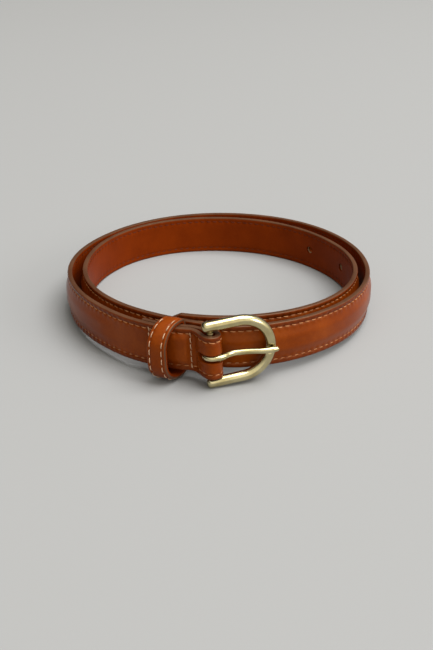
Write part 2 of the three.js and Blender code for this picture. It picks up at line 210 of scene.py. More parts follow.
# Keeper: its corners' radii run from the low front one up, back and down
KEEPER_ANGLE = 17.75
KEEPER_WIDTH = 8.3
KEEPER_LINING = 0.8
KEEPER_LAYER_GAP = 0.05
KEEPER_THICKNESS = 2.0
KEEPER_CROWN = 0.25
KEEPER_SINK = 0.2
KEEPER_CORNER = 0.4
KEEPER_FRONT = 6.4
KEEPER_BACK = STACK + 0.75
KEEPER_LOW = 2.6
KEEPER_HIGH = WIDTH + 0.5
KEEPER_CORNERS = (8.5, 8.5, 0.8, 1.5)
KEEPER_SKEW = 0.22
KEEPER_STITCH = 2.75
KEEPER_PITCH = 3.3
KEEPER_GROOVE = 0.2
KEEPER_GROOVE_HALF = 0.35
KEEPER_NEEDLE = 0.16
KEEPER_NEEDLE_HALF = 0.5
KEEPER_NEEDLE_LENGTH = 0.45
KEEPER_LENGTH = KEEPER_PITCH * 0.8
KEEPER_RISE = 0.06
KEEPER_THREAD = THREAD * 0.9
SEAM_DEPTH = 0.4
SEAM_HALF = 0.3
STAPLE_HALF = 2.6
STAPLE_WIRE = 0.3
STAPLE_STRETCH = 1.1

# Holes for the prong
HOLES = [587 + 24.9 * i for i in range(5)]
HOLE_RADIUS = 2
HOLE_RIM = 0.15
HOLE_RIM_HALF = 0.5
PUNCH_REACH = 4

# Camera
CAMERA_LENS = 52.45
CAMERA_AWAY = 0.43107
CAMERA_HEIGHT = 0.20913
CAMERA_TILT = 62.74
CAMERA_TURN = 0.335

# The bar's middle is known in both frames, which gives the way from one origin to the other
bar_low, bar_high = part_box("buckle_bar")
BAR_MIDDLE = (bar_low + bar_high) / 2
ORIGIN = np.array([BAR_MIDDLE.x / MM - BAR_X, BAR_MIDDLE.y / MM - BAR_Y, 0])


# ---------------------------------------------------------------- small helpers

def smooth(x, low, high):
    t = np.clip((np.asarray(x, float) - low) / (high - low), 0, 1)
    return t * t * (3 - 2 * t)


def bell(x, width):
    return np.exp(-(np.asarray(x) / width) ** 2)


def unit(v):
    return v / np.linalg.norm(v, axis=-1, keepdims=True)


def curve_through(x, pairs):
    """A smooth curve through pairs, with the mean of the neighbouring slopes at each inner one."""
    xs, ys = np.array(pairs, float).T
    chords = np.diff(ys) / np.diff(xs)
    slopes = np.concatenate([[0], (chords[1:] + chords[:-1]) / 2, [0]])
    x = np.clip(x, xs[0], xs[-1])
    i = np.clip(np.searchsorted(xs, x) - 1, 0, len(xs) - 2)
    width = xs[i + 1] - xs[i]
    t = (x - xs[i]) / width
    start = (2 * t**3 - 3 * t**2 + 1) * ys[i] + (t**3 - 2 * t**2 + t) * width * slopes[i]
    end = (3 * t**2 - 2 * t**3) * ys[i + 1] + (t**3 - t**2) * width * slopes[i + 1]
    return start + end


# ---------------------------------------------------------------- the strap's path

def coil_point(angle):
    r = curve_through(angle, COIL)
    a = np.radians(angle)
    return np.stack([-r * np.sin(a), -r * np.cos(a)], -1)


def coil_normal(angle):
    along = unit(coil_point(angle + 0.5) - coil_point(angle - 0.5))
    return np.stack([-along[..., 1], along[..., 0]], -1)


def bezier(start, leave, arrive, end, t):
    t = t[:, None]
    return (1 - t)**3 * start + 3 * (1 - t)**2 * t * leave + 3 * (1 - t) * t**2 * arrive + t**3 * end


def bridge(start, start_normal, end, end_normal, handle):
    way_out = np.array([start_normal[1], -start_normal[0]])
    way_in = np.array([end_normal[1], -end_normal[0]])
    t = np.linspace(0, 1, 40)[1:-1]
    return bezier(start, start + handle * way_out, end - handle * way_in, end, t)


def strap_path():
    """Points of the outer face from the turned-back end to the tip, with their angles round the coil.

    The last two values are the numbers of the fold's first point and of the coil's.
    """
    back = np.arange(TURN_BACK_END, CHAPE_START - ANGLE_STEP / 4, -ANGLE_STEP)
    back_points = coil_point(back) - coil_normal(back) * STACK
    turn = np.radians(np.arange(FOLD_BACK, FOLD_FRONT - 1, -FOLD_STEP))
    fold_normals = np.stack([np.cos(turn), np.sin(turn)], -1)
    fold = np.array([BAR_X, BAR_Y]) + FOLD_RADIUS * fold_normals
    chape = coil_point(float(CHAPE_START))
    chape_normal = coil_normal(float(CHAPE_START))
    into = bridge(back_points[-1], -chape_normal, fold[0], fold_normals[0], FOLD_HANDLES[0])
    out = bridge(fold[-1], fold_normals[-1], chape, chape_normal, FOLD_HANDLES[1])
    coil = np.arange(CHAPE_START, TIP_END + ANGLE_STEP / 20, ANGLE_STEP)
    points = np.concatenate([back_points, into, fold, out, coil_point(coil)])
    angles = np.concatenate([back, np.linspace(CHAPE_START, 0, len(into)), 0 * turn,
                             np.linspace(0, CHAPE_START, len(out)), coil])
    fold_first = len(back_points) + len(into)
    return points, angles, fold_first, fold_first + len(fold) + len(out)


class Strap:
    """The strap's path at even steps along its length, in millimetres from the turned-back end."""

    def __init__(self):
        points, angles, fold_first, coil_first = strap_path()
        lengths = np.concatenate([[0], np.cumsum(np.linalg.norm(np.diff(points, axis=0), axis=1))])
        self.total = lengths[-1]
        self.fold_start = lengths[fold_first]
        self.coil_start = lengths[coil_first]
        self.coil_lengths = lengths[coil_first:]
        self.coil_angles = angles[coil_first:]
        self.tip_start = self.at_angle(TIP_START)
        self.s = np.linspace(0, self.total, int(self.total / PATH_STEP))
        self.points = np.stack([np.interp(self.s, lengths, points[:, k]) for k in (0, 1)], -1)
        along = np.gradient(self.points, axis=0)
        kernel = np.hanning(9)[1:-1]
        for k in (0, 1):
            padded = np.pad(along[:, k], 3, mode="edge")
            along[:, k] = np.convolve(padded, kernel / kernel.sum(), mode="valid")
        along = unit(along)
        self.normals = np.stack([-along[:, 1], along[:, 0]], -1)
        angle = np.interp(self.s, lengths, angles)
        near = 1 - smooth(angle, 0, CLIMB_END)
        raised = np.maximum(0, (np.cos(np.radians(angle)) - BACK_CONTACT) / (1 - BACK_CONTACT))
        self.middle = FRONT_LIFT * raised**LIFT_CURVE + BUCKLE_CLIMB * near + HALF
        self.lean = near * math.tan(math.radians(CHAPE_LEAN))
        on_coil = self.s >= self.coil_start
        rise = smooth(angle, *PADDING[:2]) * (1 - smooth(angle, *PADDING[2:]))
        self.dome = rise * on_coil
        self.row = self.lengths_of_row()

    def at_angle(self, angle):
        """How far along the strap an angle round the coil is."""
        return np.interp(angle, self.coil_angles, self.coil_lengths)

    def half_width(self, s):
        left = np.clip((self.total - s) / (self.total - self.tip_start), 0, 1)
        return HALF * left**TIP_CURVE

    def lengths_of_row(self):
        """How far along a row of edge stitching each station is, counted from the fold."""
        half = self.half_width(self.s)
        step = np.hypot(np.gradient(self.s), np.gradient(half) * (half > STITCH_INSET))
        run = np.cumsum(step)
        return run - np.interp(self.fold_start, self.s, run)

    def look_up(self, values, s):
        """One of the path's lists of values at s along the strap."""
        if values.ndim == 1:
            return np.interp(s, self.s, values)
        return np.stack([np.interp(s, self.s, values[:, k]) for k in range(values.shape[1])], -1)

    def place(self, s, z, depth):
        """Points at s along the strap, z across it from its middle and depth out from its face."""
        s, z, depth = np.broadcast_arrays(np.asarray(s, float), z, depth)
        p = self.look_up(self.points, s)
        n = self.look_up(self.normals, s)
        x = p[..., 0] + n[..., 0] * depth - self.look_up(self.lean, s) * z
        y = p[..., 1] + n[..., 1] * depth
        return np.stack([x, y, self.look_up(self.middle, s) + z], -1)


strap = Strap()
RIGHT_ROW = strap.coil_start - RIGHT_ROW_INSET
LEFT_ROW = strap.at_angle(TURN_BACK_END - LEFT_ROW_INSET)


def slot_ends():
    """Where the prong's slot starts behind the bar and ends in front of it, along the strap."""
    reach = 10
    x = strap.points[:, 0] - BAR_X
    around = (strap.s > strap.fold_start - reach) & (strap.s < strap.coil_start)
    top = strap.s[around][np.argmax(x[around])]
    behind = around & (strap.s < top)
    before = around & (strap.s > top)
    start = np.interp(-SLOT_BACK, x[behind], strap.s[behind])
    return start, np.interp(SLOT_LEFT, -x[before], strap.s[before])


SLOT_START, SLOT_END = slot_ends()
SLOT_MIDDLE = (SLOT_START + SLOT_END) / 2
SLOT_REACH = (SLOT_END - SLOT_START) / 2 - SLOT_HALF


# ---------------------------------------------------------------- the strap's surface

def edge_slope(s):
    """How much longer the slanting edge of the tip is than the strap under it."""
    steepest = 2.5
    half = strap.half_width(s)
    ahead = strap.half_width(np.minimum(s + PATH_STEP, strap.total))
    return np.hypot(1, np.clip((half - ahead) / PATH_STEP, 0, steepest))


def slot_distance(s, z):
    """Distance from the outline of the prong's slot, counted outwards."""
    along = np.maximum(0, np.abs(s - SLOT_MIDDLE) - SLOT_REACH)
    return np.hypot(along, z + SLOT_DROP) - SLOT_HALF


def rounded_edge(edge, corner):
    """How far a rounded edge has dropped at a distance from it."""
    into = np.clip(corner - edge, 0, corner)
    return corner - np.sqrt(corner**2 - into**2)


def needle_holes(run, pitch, half):
    """1 at each needle hole of a row, falling to 0 between them."""
    return bell((run + pitch / 2) % pitch - pitch / 2, half)


def row_relief(s, edge, depth):
    """The groove of an edge row, its needle holes and the leather gathered between them."""
    run = strap.look_up(strap.row, s)
    off = edge - STITCH_INSET
    hole = needle_holes(run, STITCH_PITCH, NEEDLE_LENGTH)
    ripple = np.cos(2 * np.pi * run / STITCH_PITCH)
    sides = bell(np.abs(off) - GATHER_OUT, GATHER_HALF)
    relief = -depth * bell(off, GROOVE_HALF) - NEEDLE_SHARE * depth * hole * bell(off, NEEDLE_HALF)
    return relief - GATHER_SHARE * depth * ripple * sides


def chape_relief(s, z):
    """The bulge between the two rows across the chape, their grooves, and the crease before them."""
    from_edge = HALF - np.abs(z)
    rise = smooth(s, RIGHT_ROW + CHAPE_RISE[0], RIGHT_ROW + CHAPE_RISE[1])
    fall = smooth(s, LEFT_ROW - CHAPE_FALL[0], LEFT_ROW - CHAPE_FALL[1])
    bulge = CHAPE_BULGE * rise * (1 - fall) * (1 - smooth(np.abs(z), CHAPE_SHOULDER, CHAPE_FOOT))
    across = smooth(from_edge, STITCH_INSET - 0.6, STITCH_INSET + 0.6)
    holes = needle_holes(z, STITCH_PITCH, 0.5)
    grooves = 0
    for row, depth in ((RIGHT_ROW, RIGHT_GROOVE), (LEFT_ROW, LEFT_GROOVE)):
        grooves = grooves + across * depth * bell(s - row, CROSS_GROOVE_HALF) * (0.75 + 0.25 * holes)
    crease = CREASE_DEPTH * bell(s - RIGHT_ROW + CREASE_REACH, CREASE_HALF) * smooth(from_edge, 0.4, 3)
    return bulge - grooves - crease


def slot_relief(s, z):
    """The slot's raised lip, and the rings gathered round its front end."""
    out = slot_distance(s, z)
    rings = sum(height * bell(out - place, RING_HALF) for place, height in SLOT_RINGS)
    gathered = smooth(s, SLOT_END - RINGS_START[0], SLOT_END - RINGS_START[1])
    return SLOT_LIP * bell(out - SLOT_LIP_OUT, RING_HALF) + gathered * rings


def face_height(s, z):
    """Height of the outer surface above the strap's flat face."""
    edge = (strap.half_width(s) - np.abs(z)) / edge_slope(s)
    crown = DOME * strap.look_up(strap.dome, s) * (1 - smooth(np.abs(z), DOME_SHOULDER, DOME_FOOT))
    sewn = smooth(s, strap.fold_start - 4, strap.fold_start)
    height = crown - rounded_edge(edge, FACE_CORNER) + row_relief(s, edge, FACE_GROOVE) * sewn
    height = height + chape_relief(s, z) + slot_relief(s, z)
    for angle in HOLES:
        away = np.hypot(s - strap.at_angle(angle), z) - HOLE_RADIUS
        height = height - HOLE_RIM * bell(away, HOLE_RIM_HALF)
    slow = np.sin(s / 13.7 + 0.6) + 0.6 * np.sin(s / 5.9 + z / 7 + 1.9)
    return height + UNEVEN * slow


def padding_height(s, z):
    """Thickness of the filler that makes the dome."""
    across = 1 - smooth(np.abs(z), DOME_SHOULDER, PADDING_FOOT)
    return PADDING_HEIGHT * strap.look_up(strap.dome, s) * across


def lining_height(s, z):
    """Depth of the inner surface below the strap's face, with the same rows of stitching."""
    edge = (strap.half_width(s) - np.abs(z)) / edge_slope(s)
    rounding = rounded_edge(edge, LINING_CORNER)
    sewn = smooth(s, strap.coil_start, strap.coil_start + 10)
    dished = LINING_DISH * bell(z, LINING_DISH_HALF) * strap.look_up(strap.dome, s)
    slow = UNEVEN * (np.sin(s / 9.3) + np.sin(s / 4.1 + z / 5))
    return -THICKNESS + rounding - row_relief(s, edge, LINING_GROOVE) * sewn + dished + slow


# Points across half a cross-section: millimetres from the edge, then shares of the rest
EDGE_STEPS = [0, 0.05, 0.17, 0.42, 0.85, 1.3, 1.65, 1.9, 2.1, 2.3, 2.5, 2.7, 2.95, 3.3, 3.7]
MIDDLE_STEPS = [0.9, 0.78, 0.66, 0.53, 0.4, 0.27, 0.14]


def across_strap(s, edge_steps, middle_steps):
    """Where the points of each cross-section lie across the strap: close together near both edges."""
    half = strap.half_width(s)[:, None]
    reach = np.minimum(1, half / (edge_steps[-1] + 1)) * np.array(edge_steps)
    upper_edge = half - reach
    upper_middle = upper_edge[:, -1:] * np.array(middle_steps)
    upper = np.concatenate([upper_edge, upper_middle], axis=1)
    return np.concatenate([-upper, 0 * half, upper[:, ::-1]], axis=1)


def strap_stations():
    """Where the strap's cross-sections are along it, closer together near the very tip."""
    near_tip = strap.total - np.array([0.3, 0.12, 0.03])
    even = np.linspace(0.02, strap.total - 0.6, int(strap.total / STEP))
    return np.concatenate([even, near_tip])


# ---------------------------------------------------------------- mesh making

# Edges sharper than this stay sharp
CREASE_ANGLE = 40
ROD_CREASE_ANGLE = 60

# Sides of the punched holes and the bar
ROUND_SIDES = 32

# Numbers of a piece's materials: the surface that shows, its painted edge and the margin, whose darker
# colour is painted shade along the edges
SURFACE = 0
EDGE = 1
MARGIN = 2


def to_frame(points):
    return (np.asarray(points) + ORIGIN) * MM


def new_object(name, points, faces, material_ids=None, crease=CREASE_ANGLE):
    """A smooth-shaded object from points already in the frame's metres."""
    mesh = bpy.data.meshes.new(name)
    mesh.from_pydata(np.asarray(points).reshape(-1, 3).tolist(), [], faces)
    if material_ids is not None:
        for _ in set(material_ids):
            mesh.materials.append(None)
        mesh.polygons.foreach_set("material_index", np.asarray(material_ids, np.int32))
    bm = bmesh.new()
    bm.from_mesh(mesh)
    bmesh.ops.recalc_face_normals(bm, faces=bm.faces)
    bm.to_mesh(mesh)
    bm.free()
    mesh.shade_smooth()
    mesh.set_sharp_from_angle(angle=math.radians(crease))
    obj = bpy.data.objects.new(name, mesh)
    bpy.context.scene.collection.objects.link(obj)
    return obj


def ring_faces(rings, sides, closed=False):
    """Quads between neighbouring rings, and the two end caps of an open row of rings."""
    faces = []
    for r in range(rings if closed else rings - 1):
        a, b = r * sides, ((r + 1) % rings) * sides
        faces += [(a + i, a + (i + 1) % sides, b + (i + 1) % sides, b + i) for i in range(sides)]
    if not closed:
        faces += [tuple(range(sides))[::-1], tuple(range((rings - 1) * sides, rings * sides))]
    return faces


def cut(obj, cutters):
    """Takes the cutters' shapes out of obj, and removes them."""
    for cutter in cutters:
        modifier = obj.modifiers.new("cut", "BOOLEAN")
        modifier.operation = "DIFFERENCE"
        modifier.solver = "EXACT"
        modifier.object = cutter
    bpy.context.view_layer.update()
    made = bpy.data.meshes.new_from_object(obj.evaluated_get(bpy.context.evaluated_depsgraph_get()))
    obj.modifiers.clear()
    obj.data = made
    made.shade_smooth()
    made.set_sharp_from_angle(angle=math.radians(CREASE_ANGLE))
    for cutter in cutters:
        bpy.data.objects.remove(cutter)
    return obj


def inner_points(z):
    """Every fourth point across the strap, walked back, for a layer's smoother inner surface."""
    return z[:, ::-4]


def strap_layer(name, s, z, outer, inner, margin=0):
    """One layer of the strap between two surfaces, with a margin some quads wide next to each edge, which
    takes the painted shade.
    """
    back = inner_points(z)
    sides = np.concatenate([z, back], axis=1)
    depth = np.concatenate([outer, inner + 0 * back], axis=1)
    points = to_frame(strap.place(s[:, None], sides, depth))
    ring = sides.shape[1]
    last = z.shape[1] - 1 - PAINTED
    kinds = np.full(ring, EDGE)
    kinds[PAINTED:last] = SURFACE
    kinds[PAINTED:PAINTED + margin] = MARGIN
    kinds[last - margin:last] = MARGIN
    ids = np.concatenate([np.tile(kinds, len(s) - 1), [EDGE, EDGE]])
    return new_object(name, points, ring_faces(len(s), ring), ids)


def whole_turn(sides):
    """Even angles once round a circle."""
    return np.linspace(0, 2 * np.pi, sides + 1)[:-1]


def hole_cutters():
    """Round punches through every layer, square to the strap."""
    up = np.array([0, 0, 1])
    turn = whole_turn(ROUND_SIDES)[:, None]
    cutters = []
    for i, angle in enumerate(HOLES):
        s = strap.at_angle(angle)
        middle = strap.place(s, 0, -THICKNESS / 2)
        outward = strap.place(s, 0, 1) - strap.place(s, 0, 0)
        side = unit(np.cross(outward, up))
        circle = HOLE_RADIUS * (np.cos(turn) * side + np.sin(turn) * up)
        rings = [middle + circle + outward * reach for reach in (-PUNCH_REACH, PUNCH_REACH)]
        punch = new_object(f"hole_{i}", to_frame(np.concatenate(rings)), ring_faces(2, ROUND_SIDES))
        cutters.append(punch)
    return cutters


def slot_cutter():
    """A plug with the slot's outline, wrapped round the fold and proud of the leather on both sides."""
    share = np.sin(np.linspace(-np.pi / 2, np.pi / 2, 60))
    s = SLOT_MIDDLE + share * (SLOT_REACH + SLOT_HALF)
    beyond = np.maximum(0, np.abs(s - SLOT_MIDDLE) - SLOT_REACH)
    half = np.maximum(0.04, np.sqrt(np.maximum(0, SLOT_HALF**2 - beyond**2)))
    z = np.stack([-half, half, half, -half], -1) - SLOT_DROP
    inside = -THICKNESS - 1.1
    outside = 1.5
    depth = np.array([inside, inside, outside, outside])
    return new_object("slot", to_frame(strap.place(s[:, None], z, depth)), ring_faces(len(s), 4))


# ---------------------------------------------------------------- stitches

def stitches(name, middles, rises, directions, length, radius):
    """Single stitches. Each one lies along its direction and dips into the leather at both ends."""
    u = np.linspace(-1, 1, 9)
    hump = STITCH_RISE - STITCH_DIP * np.abs(u) ** 5
    turn = whole_turn(THREAD_SIDES)
    twist = 1 + TWIST_DEPTH * np.cos(2 * (turn[None, :] - TWIST_TURN * u[:, None]))
    taper = (1 - 0.45 * np.abs(u) ** 6)[:, None]
    across = radius * taper * twist * np.cos(turn)
    up = 0.8 * radius * taper * twist * np.sin(turn)
    faces = []
    points = []
    for k, (middle, rise, direction) in enumerate(zip(middles, rises, directions)):
        side = np.cross(direction, rise)
        centres = middle + np.outer(u * length / 2, direction) + np.outer(hump, rise)
        rings = centres[:, None] + across[..., None] * side + up[..., None] * rise
        points.append(rings.reshape(-1, 3))
        start = k * len(u) * THREAD_SIDES
        faces += [tuple(i + start for i in face) for face in ring_faces(len(u), THREAD_SIDES)]
    return new_object(name, to_frame(np.concatenate(points)), faces, crease=180)


def edge_row(name, surface, outward, start):
    """The edge stitching of one side of the strap: along one edge, round the tip and back."""
    s = np.arange(start, strap.total, 0.05)
    z = strap.half_width(s) - STITCH_INSET * edge_slope(s)
    s, z = s[z > 0], z[z > 0]
    row_s = np.concatenate([s, s[::-1]])
    row_z = np.concatenate([z, -z[::-1]])
    run = np.concatenate([[0], np.cumsum(np.hypot(np.diff(row_s), np.diff(row_z)))])
    offset = strap.look_up(strap.row, row_s[0]) % STITCH_PITCH
    ends = np.array([-1, 0, 1])
    reach = 0.8
    middles = []
    rises = []
    directions = []
    for centre in np.arange(STITCH_SHIFT - offset + STITCH_PITCH, run[-1] - 1, STITCH_PITCH):
        around = centre + reach * ends
        cs = np.interp(around, run, row_s)
        cz = np.interp(around, run, row_z) + ends * STITCH_SLANT * outward
        points = strap.place(cs, cz, surface(cs, cz))
        rise = (strap.place(cs[1], cz[1], 1) - strap.place(cs[1], cz[1], 0)) * outward
        direction = unit(points[2] - points[0])
        middles.append(points[1])
        directions.append(direction)
        rises.append(unit(rise - direction * np.dot(rise, direction)))
    return stitches(name, middles, rises, directions, STITCH_LENGTH, THREAD)


def cross_row(name, row):
    """A row of stitching across the chape."""
    count = int(WIDTH / CROSS_PITCH)
    heights = (np.arange(count) - (count - 1) / 2) * CROSS_PITCH
    middles = [strap.place(row, z, face_height(row, z) + CROSS_RISE) for z in heights]
    outward = strap.place(row, 0, 1) - strap.place(row, 0, 0)
    up = unit(strap.place(row, 1, 0) - strap.place(row, -1, 0))
    slant = unit(np.cross(outward, up)) * CROSS_SLANT
    rises = [unit(outward)] * count
    directions = [unit(up + slant)] * count
    return stitches(name, middles, rises, directions, CROSS_LENGTH, CROSS_THREAD)


# ---------------------------------------------------------------- the strap's pieces

def make_face():
    """The outer leather, domed over the filler."""
    # Quads next to each edge that take the margin's painted shade
    margin = 6
    s = strap_stations()
    z = across_strap(s, EDGE_STEPS, MIDDLE_STEPS)
    under = padding_height(s[:, None], inner_points(z)) - FACE - FACE_GAP
    face = strap_layer("strap_face_leather", s, z, face_height(s[:, None], z), under, margin)
    return cut(face, [slot_cutter(), *hole_cutters()])


def make_lining():
    """The inner leather, on a coarser mesh than the face."""
    s = strap_stations()
    z = across_strap(s, EDGE_STEPS[:2] + EDGE_STEPS[3:-1:2], MIDDLE_STEPS[::2])
    inner = lining_height(s[:, None], z)
    lining = strap_layer("strap_lining_leather", s, z, inner, -FACE - LINING_GAP)
    return cut(lining, [slot_cutter(), *hole_cutters()])


def make_filler():
    """The soft strip between face and lining, thickest along the middle, punched with the same holes."""
    s = np.arange(strap.at_angle(PADDING[0]), strap.at_angle(PADDING[3]), 2 * STEP)
    z = np.tile(np.linspace(-PADDING_FOOT, PADDING_FOOT, 17), (len(s), 1))
    top = np.maximum(PADDING_LEAST, padding_height(s[:, None], z) - FACE_GAP)
    strip = strap_layer("filler_strip", s, z, top - FACE - FILLER_GAP, -FACE - FILLER_GAP)
    return cut(strip, hole_cutters())


# ---------------------------------------------------------------- buckle, in its own frame
# X runs from the bar to the bow, Z along the bar, -Y out of the coil.

YAW = Matrix.Rotation(math.radians(FRAME_YAW), 3, "Z")
ROLL = Matrix.Rotation(-math.radians(FRAME_ROLL), 3, "Y")
BUCKLE_TURN = np.array(YAW @ ROLL)


def buckle_to_coil(points):
    return np.asarray(points) @ BUCKLE_TURN.T + np.array([BAR_X, BAR_Y, BAR_MIDDLE.z / MM])


def rod(centres, radii, plane_normal, sides, stretch=1.0):
    """A round bar along centres in one plane, stretched along the plane's normal."""
    along = unit(np.gradient(centres, axis=0))
    normal = np.array(plane_normal, float)
    side = unit(np.cross(normal, along))
    turn = whole_turn(sides)[None, :, None]
    ring = np.cos(turn) * side[:, None] + stretch * np.sin(turn) * normal
    return centres[:, None] + np.asarray(radii)[:, None, None] * ring


def with_ends(centres, radii, bevel):
    """Adds a small rounded bevel at both ends of a bar."""
    turn = np.radians([84, 66, 48, 30, 14])
    reach = bevel * np.sin(turn)
    shrink = bevel * (1 - np.cos(turn))
    start = centres[0] + reach[:, None] * unit(centres[0] - centres[1])
    end = centres[-1] + reach[::-1, None] * unit(centres[-1] - centres[-2])
    radii = np.concatenate([radii[0] - shrink, radii, (radii[-1] - shrink)[::-1]])
    return np.concatenate([start, centres, end]), radii


def rod_object(name, points, crease=ROD_CREASE_ANGLE):
    return new_object(name, to_frame(buckle_to_coil(points)), ring_faces(*points.shape[:2]), crease=crease)


def make_frame():
    """Two straight arms joined by a bow, which is notched from its front for the prong."""
    bow_reach = FRAME_REACH - FRAME_STRAIGHT
    turn = np.radians(np.linspace(90, -90, 281))
    bow = np.stack([FRAME_STRAIGHT + bow_reach * np.cos(turn), 0 * turn, FRAME_HALF * np.sin(turn)], -1)
    x = np.linspace(-FRAME_TAIL - 0.1, FRAME_STRAIGHT, 30)[:-1]
    upper = np.stack([x, 0 * x, 0 * x + FRAME_HALF], -1)
    lower = (upper * [1, 1, -1])[::-1]
    centres = np.concatenate([upper, bow, lower])
    centres, radii = with_ends(centres, np.full(len(centres), float(ROD)), ROD_BEVEL)
    points = rod(centres, radii, (0, 1, 0), 56)
    near = points[..., 0] > FRAME_STRAIGHT
    across = (points[..., 0] - FRAME_REACH + ROD) / (2 * ROD)
    half = NOTCH_HALF * (1 - NOTCH_TAPER * np.clip(across, 0, 1))
    slope = np.maximum(0, 1 - np.abs(points[..., 2] + NOTCH_DROP) / half)
    front = -ROD + NOTCH_CUT * slope
    deeper = near & (points[..., 1] < front)
    points[..., 1] = np.where(deeper, front, points[..., 1])
    return rod_object("buckle_frame_brass", points)


def make_prong():
    """An eye round the bar, and a blade that dips over the fold and rises to the notch."""
    eye = np.radians(np.arange(-15, -271, -15))
    eye = np.stack([PRONG_EYE * np.cos(eye), PRONG_EYE * np.sin(-eye), 0 * eye], -1)
    blade = [(2.2, 3.2), (4.6, 2.5), (6.8, 1.35), (9, 0.7), (12, 0.75), (17, 1.5), (22, PRONG_RISE - 0.25),
             (FRAME_REACH, PRONG_RISE), (PRONG_REACH - PRONG, PRONG_RISE - 0.15)]
    blade = np.array([(x, -out, 0) for x, out in blade])
    knots = np.concatenate([eye, blade])
    run = np.concatenate([[0], np.cumsum(np.linalg.norm(np.diff(knots, axis=0), axis=1))])
    even = np.linspace(0, run[-1], 150)
    centres = np.stack([curve_through(even, np.stack([run, knots[:, k]], -1)) for k in range(3)], -1)
    places = [-3.5, 3, 8, 20, FRAME_REACH, PRONG_REACH]
    radii = np.interp(centres[:, 0], places, [1.15, 1.2, 1.25, 1.2, 1.25, 0.85])
    centres, radii = with_ends(centres, radii, PRONG_BEVEL)
    points = rod(centres, radii, (0, 0, 1), 28, PRONG_STRETCH)
    tilt = np.array(Matrix.Rotation(math.radians(PRONG_TILT), 3, "Y"))
    return rod_object("prong_brass", points @ tilt.T - [0, 0, PRONG_DROP])


def make_bar():
    """The bar: a turned pin with rounded shoulders, whose necks sit in the frame's arms."""
    shoulder = FRAME_HALF - ROD - GAP
    profile = [(0.9, shoulder + 1.7), (NECK_RADIUS, shoulder + 1.5), (NECK_RADIUS, shoulder + 0.05),
               (1.35, shoulder), (1.55, shoulder - 0.15), (BAR_RADIUS, shoulder - 0.5)]
    profile += [(BAR_RADIUS, z) for z in (4, 0, -4)] + [(r, -z) for r, z in profile[::-1]]
    turn = whole_turn(ROUND_SIDES)
    rings = [[(r * math.cos(a), r * math.sin(a), z) for a in turn] for r, z in profile]
    return rod_object("buckle_bar_brass", np.array(rings), CREASE_ANGLE)


# ---------------------------------------------------------------- keeper, in its own frame
# X points out of the coil, Y up, Z along the strap.

def keeper_frame():
    """The point under the strap's edge that the keeper is built from, and its three axes."""
    s = strap.at_angle(KEEPER_ANGLE)
    outward = strap.look_up(strap.normals, s)
    outward = np.array([outward[0], outward[1], 0])
    upward = unit(np.array([-np.interp(s, strap.s, strap.lean), 0, 1]))
    sideways = unit(np.cross(outward, upward))
    upward = np.cross(sideways, outward)
    return strap.place(s, -HALF, 0), np.stack([outward, upward, sideways])


def keeper_to_coil(points):
    origin, axes = keeper_frame()
    return origin + np.asarray(points) @ axes


def keeper_outline(grow):
    """The loop's inner outline grown outwards: even points, their outward normals and their distances."""
    spacing = 0.35
    corners = [(KEEPER_FRONT, -KEEPER_LOW, 1, -1, -90), (KEEPER_FRONT, KEEPER_HIGH, 1, 1, 0),
               (-KEEPER_BACK, KEEPER_HIGH, -1, 1, 90), (-KEEPER_BACK, -KEEPER_LOW, -1, -1, 180)]
    points = []
    normals = []
    for (x, y, way_x, way_y, start), radius in zip(corners, KEEPER_CORNERS):
        turn = np.radians(start + np.linspace(0, 90, 24))
        normal = np.stack([np.cos(turn), np.sin(turn)], -1)
        points.append(np.array([x - way_x * radius, y - way_y * radius]) + (radius + grow) * normal)
        normals.append(normal)
    points = np.concatenate([*points, points[0][:1]])
    normals = np.concatenate([*normals, normals[0][:1]])
    run = np.concatenate([[0], np.cumsum(np.linalg.norm(np.diff(points, axis=0), axis=1))])
    even = np.linspace(0, run[-1], int(run[-1] / spacing))[:-1]
    pick = [np.stack([np.interp(even, run, v[:, k]) for k in (0, 1)], -1) for v in (points, normals)]
    return pick[0], unit(pick[1]), even


def keeper_relief(run, across):
    """A slight crown, the grooves and needle holes of the two rows of stitching, and the seam."""
    half = KEEPER_WIDTH / 2
    off = np.abs(across) - KEEPER_STITCH
    hole = needle_holes(run, KEEPER_PITCH, KEEPER_NEEDLE_LENGTH)
    crown = KEEPER_CROWN * (1 - (across / half) ** 2)
    groove = KEEPER_GROOVE * bell(off, KEEPER_GROOVE_HALF)
    needle = KEEPER_NEEDLE * hole * bell(off, KEEPER_NEEDLE_HALF)
    seam = SEAM_DEPTH * bell(run - keeper_seam(), SEAM_HALF)
    return crown - rounded_edge(half - np.abs(across), KEEPER_CORNER) - (groove + needle) - seam


def keeper_seam():
    """How far round the loop its two ends meet, half-way up behind the strap."""
    points, _, run = keeper_outline(0)
    behind = points[:, 0] < 1 - KEEPER_BACK
    return run[behind][np.argmin(np.abs(points[behind, 1] - HALF))]


def make_staple():
    """A flat wire staple across the seam, with its ends turned into the leather."""
    back = -KEEPER_BACK - KEEPER_THICKNESS
    low = -STAPLE_HALF
    path = [(0.9, low), (0.3, low), (0.05, low + 0.12), (0, low + 0.4)]
    path += [(0, 0)] + [(x, -y) for x, y in path[::-1]]
    sideways = KEEPER_SKEW * (back - KEEPER_FRONT)
    centres = np.array([(back - 0.1 + x, HALF + y, sideways) for x, y in path])
    points = rod(centres, np.full(len(centres), STAPLE_WIRE), (0, 0, 1), 12, STAPLE_STRETCH)
    return new_object("keeper_staple_wire", to_frame(keeper_to_coil(points)), ring_faces(*points.shape[:2]))


